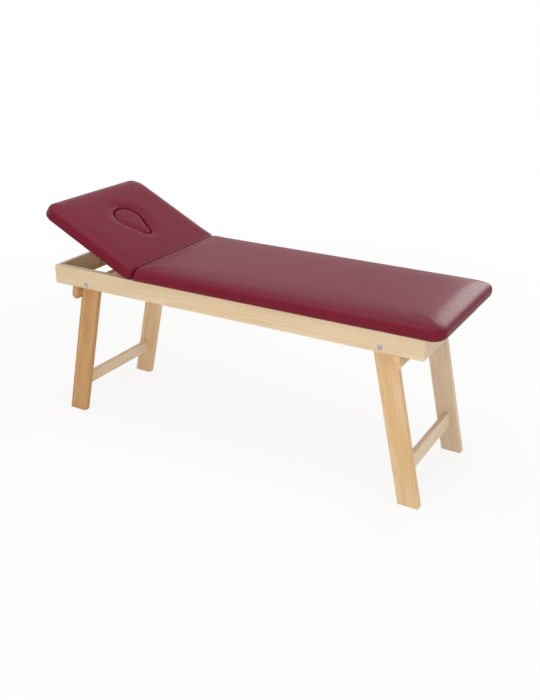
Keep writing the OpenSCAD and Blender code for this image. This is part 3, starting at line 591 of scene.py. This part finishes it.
def makePlugFoam(s):
    # a straight wall in the opening's outline, then rings drawn in and up along a squared ellipse
    angle = np.linspace(0, 2 * math.pi, 96, endpoint=False)
    rows = [facePoints(angle, -s["gap"] - 4, s["low"]), facePoints(angle, -s["gap"], s["low"])]
    for a in np.linspace(0, math.pi / 2, 9)[:-1]:
        across, up = math.cos(a) ** (2 / s["power"]), math.sin(a) ** (2 / s["power"])
        height = s["wall"] + (s["top"] - s["wall"]) * up
        rows.append(facePoints(angle, -s["gap"] - s["reach"] * (1 - across), height))
    rings = np.stack(rows)
    rings[..., 2] += padUp
    points, faces = closedLoft(rings * mm)
    points[-1, 2] = (padUp + s["top"]) * mm
    piece = putMesh("plugFoam", points, faces)
    wall = (padUp + s["held"]) * mm
    inflate(piece, s, lambda p: p[:, 2] < wall, lambda p: np.full(len(p), s["swell"] * mm))
    moveVertices(piece.data, headToTable(vertexPlaces(piece.data)))
    return dress(piece, headVinyl, "face_plug", "burgundy vinyl", "plug_cushion")


makePlugFoam(plug)
print("pads stuffed")

# Cover's hem: it is turned under the panel and stapled, with low pleats across the corners, which
# are stronger at a broad corner
hem = {"from": 3, "to": 50, "skin": 0.3, "pleats": 16, "pleatDepth": 0.12, "slight": 0.4, "broad": 50}


def makeHem(name, pad, place, material, body):
    # inset and height round the hem's section, from its outer skin back along its inner skin
    s = hem
    start, end, under = s["from"], s["to"], -s["skin"]
    profile = np.array([[start, 2.2], [start + 0.8, 0.7], [start + 2.8, -0.1], [start + 6, under],
                        [14, under], [30, under], [end - 0.3, under], [end, under / 2],
                        [end - 0.3, 0], [30, 0], [14, 0], [start + 6, 0.1],
                        [start + 3.2, 0.6], [start + 1.7, 1.3], [start + 1.2, 2.4]])[::-1]
    rings = padRings({**pad, "leans": (0, 0)}, profile[:, 0], profile[:, 1])
    # pleats are waves round a corner, on the underside only
    count = pad["arcPoints"] + pad["sidePoints"]
    wave = np.zeros(rings.shape[1])
    turn = np.linspace(0, 1, pad["arcPoints"])
    pleats = np.sin(math.pi * turn) * np.sin(turn * s["pleats"] * math.pi)
    for corner in range(4):
        radius = pad["radii"][1] if corner in (0, 3) else pad["radii"][0]
        first = corner * count
        wave[first:first + pad["arcPoints"]] = (1.0 if radius > s["broad"] else s["slight"]) * pleats
    depth = s["pleatDepth"] * ((profile[:, 1] == under) & (profile[:, 0] < end - 1))
    rings[..., 2] -= np.abs(wave)[None, :] * depth[:, None]
    rings[..., 2] += pad["base"]
    piece = putMesh(name, place(rings * mm), ringFaces(len(rings), rings.shape[1], True))
    return dress(piece, material, body, "burgundy vinyl")


mainHem = makeHem("mainHem", {**mainPad, "arcPoints": 24}, lambda p: p, mainVinyl, "frame")
headHem = makeHem("headHem", {**headPad, "arcPoints": 24}, headToTable, headVinyl, "head_section")
print("covers turned under")

# Fasteners, in millimetres: a dome or a flat head with a recess, turned about its own axis
bolt = {"head": 10, "rise": 4.6, "rim": 0.7, "flat": 5.2, "socket": 3.6, "depth": 3.6, "shank": 4,
        "length": 71.4}
screw = {"head": 4.6, "rise": 1.3, "cross": 2.2, "depth": 1.0, "shank": 2.1, "length": 10}


def turnedBody(profile, recess):
    # rings round the axis; where the share is above 0 the radius follows the recess's shape
    radius, height, share = (np.asarray(column)[:, None] for column in zip(*profile))
    angle = np.linspace(0, 2 * math.pi, len(recess), endpoint=False)[None, :]
    r = radius * (1 - share) + radius * share * recess[None, :]
    rings = np.stack([r * np.cos(angle), r * np.sin(angle), np.broadcast_to(height, r.shape)], -1)
    return closedLoft(rings * mm)


def hexagon(count):
    # distance to a hexagon's side over its half width across the flats
    angle = np.linspace(0, 2 * math.pi, count, endpoint=False)
    return 1 / np.cos((angle % (math.pi / 3)) - math.pi / 6)


def crossRecess(count):
    # four arms: wide where cos of four times the angle is high
    angle = np.linspace(0, 2 * math.pi, count, endpoint=False)
    return 0.55 + 0.45 * np.cos(4 * angle) ** 3


def boltBody(s):
    # radius, height and share of the recess's shape: shank, rim, dome, then the hexagon socket
    head, rise, rim, floor = s["head"], s["rise"], s["rim"], s["rise"] - s["depth"]
    profile = [(0.5, -s["length"], 0), (s["shank"] - 0.8, -s["length"], 0),
               (s["shank"], -s["length"] + 0.8, 0), (s["shank"], 0, 0),
               (head - 0.3, 0, 0), (head, 0.3, 0), (head, rim, 0)]
    profile += [(head - (head - s["flat"]) * (1 - math.cos(a)), rim + (rise - rim) * math.sin(a), 0)
                for a in np.linspace(0, math.pi / 2, 8)[1:-1]]
    profile += [(s["flat"] - 0.2, rise, 0), (s["socket"] + 0.35, rise, 1), (s["socket"], rise - 0.3, 1),
                (s["socket"], floor, 1), (s["socket"] * 0.6, floor - 0.1, 1)]
    return turnedBody(profile, hexagon(48))


def screwBody(s):
    # the same columns: point, shank, rim and low dome, then the cross recess
    profile = [(0.4, -s["length"], 0), (s["shank"], -s["length"] + 2, 0), (s["shank"], -0.6, 0),
               (s["head"] - 0.2, -0.1, 0), (s["head"], 0.15, 0), (s["head"] * 0.86, s["rise"] * 0.62, 0),
               (s["head"] * 0.66, s["rise"], 0), (s["cross"] + 0.15, s["rise"], 1),
               (s["cross"], s["rise"] - 0.15, 1), (s["cross"] * 0.75, s["rise"] - s["depth"], 1)]
    return turnedBody(profile, crossRecess(32))


def facing(axis, place, spin=0.0):
    # 3 x 4 matrix that turns the fastener's own axis to this one
    turn = Vector(axis).to_track_quat("Z", "Y").to_matrix() @ Euler((0, 0, spin)).to_matrix()
    return np.column_stack([np.array(turn), np.array(place)])


def placeFasteners(name, body, places, bodyName, *stoodFor):
    points, faces = copies(*body, places)
    piece = putMesh(name, points, faces)
    return dress(piece, zinc, bodyName, "zinc-plated steel", *stoodFor)


boltLow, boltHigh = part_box("pivot_bolts")
pivotX = [boltLow[0] + bolt["head"] * mm, boltHigh[0] - bolt["head"] * mm]
pivotZ = (boltLow[2] + boltHigh[2]) / 2
railFace = 0.300  # metres from the middle to a rail's outer face
boltPlaces = [facing((0, side, 0), (x, side * railFace, pivotZ), 0.4 * k) for k, (x, side) in
              enumerate([(x, side) for x in pivotX for side in (-1, 1)])]
placeFasteners("pivotBolts", boltBody(bolt), boltPlaces, "frame", "pivot_bolts")

# Hinge screws go up into the panels, bracket screws into the head board and the head panel, all at
# the CAD part's holes. In metres: a leaf's reach, width and thickness, the hinges' distance from the
# middle, the brackets' holes from the middle, their sheet's thickness, and the upper bracket's
# distance from the hinge axis. Rows and columns are shares of a leaf's reach and width.
leaf = {"reach": 0.076, "width": 0.080, "thick": 0.002, "middle": 0.170, "rows": (0.66, 0.88),
        "columns": (-0.3, 0.3)}
bracket = {"hole": 0.017, "along": 0.150, "sheet": 0.0025}
headDown = Vector((-math.sin(headTilt), 0, -math.cos(headTilt)))
leafHoles = [(row * leaf["reach"], side * leaf["middle"] + column * leaf["width"])
             for row in leaf["rows"] for side in (-1, 1) for column in leaf["columns"]]
fixedLow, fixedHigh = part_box("fixed_hinge_leaves")
leafUnder = fixedHigh[2] - leaf["thick"]
fixedScrews = [facing((0, 0, -1), (hinge[0] + x, y, leafUnder), k)
               for k, (x, y) in enumerate(leafHoles)]
placeFasteners("fixedHingeScrews", screwBody(screw), fixedScrews, "frame")
movingScrews = [facing(headDown, headToTable(np.array([-x, y, padUp * mm - leaf["thick"]])), k)
                for k, (x, y) in enumerate(leafHoles)]
underBracket = padUp * mm - bracket["sheet"]
movingScrews += [facing(headDown, headToTable(np.array([-bracket["along"], side * bracket["hole"],
                                                      underBracket])), side) for side in (-1, 1)]
placeFasteners("headSectionScrews", screwBody(screw), movingScrews, "head_section")
footLow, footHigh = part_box("stay_foot_bracket")
footZ = (footLow[2] + footHigh[2]) / 2
footScrews = [facing((1, 0, 0), (footLow[0] + bracket["sheet"], side * bracket["hole"], footZ), side)
              for side in (-1, 1)]
placeFasteners("stayFootScrews", screwBody(screw), footScrews, "frame")
print("fasteners set")

# Staples along the edge of each turned-under cover, in millimetres
staple = {"crown": 10, "wire": 1.1, "thick": 0.5, "spacing": 38, "inset": 44}


def stapleBody(s):
    # a flat wire along its length, its ends bent up into the wood
    half, w, t = s["crown"] / 2, s["wire"] / 2, s["thick"]
    outer = np.array([[-half, 3], [-half, 0.4], [-half + 0.4, 0], [half - 0.4, 0], [half, 0.4], [half, 3]])
    inner = np.array([[-half + t, 3], [-half + t, 0.8], [-half + 0.8, t], [half - 0.8, t],
                      [half - t, 0.8], [half - t, 3]])
    loops = [np.column_stack([p[:, 0], np.full(6, y), p[:, 1]]) for p, y in
             ((outer, -w), (inner, -w), (inner, w), (outer, w))]
    rings = np.stack(loops, 1)
    m, n = rings.shape[:2]
    faces = [ringFaces(m, n), np.array([[3, 2, 1, 0]]), np.array([[0, 1, 2, 3]]) + (m - 1) * n]
    return rings.reshape(-1, 3) * mm, faces


def staplePlaces(pad, gaps):
    # points along the outline at an even spacing, turned to follow it; a gap is left where x and
    # the distance from the middle lie between these limits
    line = padRings({**pad, "leans": (0, 0)}, [staple["inset"]], [-hem["skin"] - staple["thick"]])[0]
    line = np.concatenate([line, line[:1]])
    steps = np.linalg.norm(np.diff(line, axis=0), axis=1)
    run = np.concatenate([[0], np.cumsum(steps)])
    at = np.arange(staple["spacing"] / 2, run[-1], staple["spacing"])
    x, y, z = (np.interp(at, run, line[:, k]) for k in range(3))
    ahead = np.interp(at + 2, run, line[:, 0]) - x, np.interp(at + 2, run, line[:, 1]) - y
    angle = np.arctan2(ahead[1], ahead[0])
    keep = np.ones(len(at), bool)
    for low, high, (near, far) in gaps:
        keep &= ~((x > low) & (x < high) & (np.abs(y) > near) & (np.abs(y) < far))
    x, y, z, angle = x[keep] * mm, y[keep] * mm, (z[keep] + pad["base"]) * mm, angle[keep]
    places = np.zeros((len(x), 3, 4))
    places[:, 0, 0] = places[:, 1, 1] = np.cos(angle)
    places[:, 1, 0], places[:, 0, 1] = np.sin(angle), -np.sin(angle)
    places[:, 2, 2] = 1
    places[:, :, 3] = np.stack([x, y, z], -1)
    return places


# in millimetres: distances from the middle, and limits along x with them, for the frame or, drawn
# flat, for the head section
wholeWidth = (0, 400)
stapleGaps = {"fixedLeaves": (-500, -380, wholeWidth), "movingLeaves": (-80, 0, wholeWidth),
              "cornerBlocks": (-440, -370, (200, 400))}


def nodeSpan(name, reach=6):
    low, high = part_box(name)
    return low[0] / mm - reach, high[0] / mm + reach, wholeWidth


# none over the bearers and the foot board, the hinges' leaves or the head board's corner blocks
mainGaps = [nodeSpan(name) for name in ("hinge_bearer", "middle_bearer", "foot_bearer", "foot_end_board")]
mainGaps.append(stapleGaps["fixedLeaves"])
points, faces = copies(*stapleBody(staple), staplePlaces(mainPad, mainGaps))
dress(putMesh("mainStaples", points, faces, False), zinc, "frame", "zinc-plated steel")
headGaps = [stapleGaps["movingLeaves"], stapleGaps["cornerBlocks"]]
points, faces = copies(*stapleBody(staple), staplePlaces(headPad, headGaps))
dress(putMesh("headStaples", headToTable(points), faces, False), zinc, "head_section", "zinc-plated steel")

# The stop bars' screws keep their CAD nodes
for name in ("head_stop_screws", "foot_stop_screws"):
    paint(nodes[name], zinc)
print("staples set")

# Stage: pale floor, soft boxes and an even sky that shows white. In metres: half the floor's side,
# how far it lies below the feet, and where the white veil over it begins to thicken and is full
stage = {"floor": "#f4f3f1", "half": 90, "drop": 0.0005, "veil": 0.84, "near": 1.3, "far": 3.6,
         "ambient": 0.47}
# name, place, aim, side in metres, power in watts, and whether the box shows in reflections
softboxes = [
    ("overhead box", (-0.2, -0.6, 3.6), (0, 0, 0.6), 3.2, 50, True),
    ("front box", (0.5, -4.2, 1.4), (0.2, 0, 0.4), 2.4, 58, False),
    ("end box", (4.2, -1.0, 1.2), (0, 0, 0.4), 2.0, 32, False),
    ("back box", (0.75, 3.1, 2.1), (0.9, 0, 0.79), 1.1, 27, True),
]


def makeStage(s):
    square = np.array([[-1, -1], [1, -1], [1, 1], [-1, 1]], float) * s["half"]
    corners = np.column_stack([square, np.full(4, -s["drop"])])
    floor = putMesh("floor", corners, np.array([[0, 1, 2, 3]]), False)
    material, tree, shader = newMaterial("painted floor",
                                         {"Base Color": linear(s["floor"]), "Roughness": 0.9})
    lightPath = addNode(tree, "LightPath")
    white = addNode(tree, "Emission", {"Color": (1, 1, 1, 1), "Strength": 1.0})[0]
    # the veil is thin round the table, which keeps its shadow, and full further out
    coords = addNode(tree, "TexCoord")
    away = addNode(tree, "VectorMath", {}, {0: coords["Object"]}, operation="LENGTH")["Value"]
    veil = addNode(tree, "MapRange", {"From Min": s["near"], "From Max": s["far"], "To Min": s["veil"]},
                   {"Value": away}, interpolation_type="SMOOTHSTEP")[0]
    share = addNode(tree, "Math", {}, {0: lightPath["Is Camera Ray"], 1: veil},
                    operation="MULTIPLY")[0]
    mixed = addNode(tree, "MixShader", {}, {0: share, 1: shader.outputs[0], 2: white})[0]
    tree.links.new(mixed, tree.nodes["Material Output"].inputs["Surface"])
    paint(floor, material)
    world = bpy.data.worlds.new("studio")
    scene.world = world
    world.use_nodes = True
    tree = world.node_tree
    seen = addNode(tree, "LightPath")
    either = addNode(tree, "Math", {}, {0: seen["Is Camera Ray"], 1: seen["Is Glossy Ray"]},
                     operation="ADD")[0]
    direct = addNode(tree, "Math", {}, {0: either, 1: seen["Is Transmission Ray"]}, operation="ADD",
                     use_clamp=True)[0]
    strength = addNode(tree, "MapRange", {"To Min": s["ambient"], "To Max": 1.0}, {"Value": direct})[0]
    sky = tree.nodes["Background"]
    sky.inputs["Color"].default_value = (1, 1, 1, 1)
    tree.links.new(strength, sky.inputs["Strength"])


def addSoftbox(name, place, target, side, power, shine):
    light = bpy.data.lights.new(name, "AREA")
    light.shape, light.size, light.energy = "SQUARE", side, power
    lamp = bpy.data.objects.new(name, light)
    scene.collection.objects.link(lamp)
    lamp.visible_glossy = shine
    lamp.location = place
    lamp.rotation_euler = (Vector(target) - Vector(place)).to_track_quat("-Z", "Y").to_euler()


makeStage(stage)
for box in softboxes:
    addSoftbox(*box)
print("stage lit")
